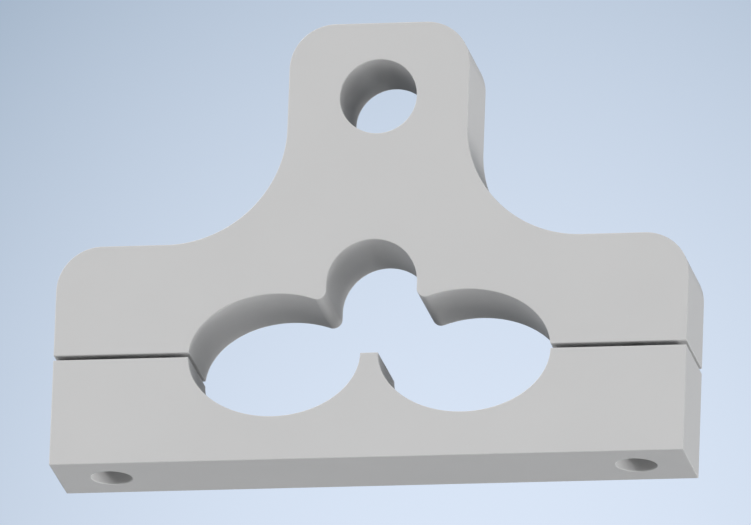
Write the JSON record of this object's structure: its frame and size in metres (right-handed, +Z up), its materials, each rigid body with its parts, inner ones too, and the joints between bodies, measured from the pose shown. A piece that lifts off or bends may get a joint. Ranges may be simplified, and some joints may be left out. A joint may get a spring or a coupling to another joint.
{
  "type": "cable holder",
  "caption": "Hanging cable holder: a two-part clamp plate that grips cables in side-by-side oval passages and a round middle one, with a neck and a round hanging eye above.",
  "frame": {"origin": "centre of the holder's base, on the underside of the clamp bar", "axes": "+Z up from the base to the eye, +X along the holder's width, +Y from front to back through the thickness, along the cables"},
  "size_m": [0.14, 0.02, 0.1],
  "materials": {
    "plate_plastic": "fine matt moulded light grey",
    "bar_plastic": "fine matt moulded light grey",
    "screw_steel": "zinc-plated, satin"
  },
  "bodies": {
    "root": {"hanger_plate": "plate_plastic", "clamp_bar": "bar_plastic", "clamp_screws": "screw_steel"}
  },
  "joints": []
}
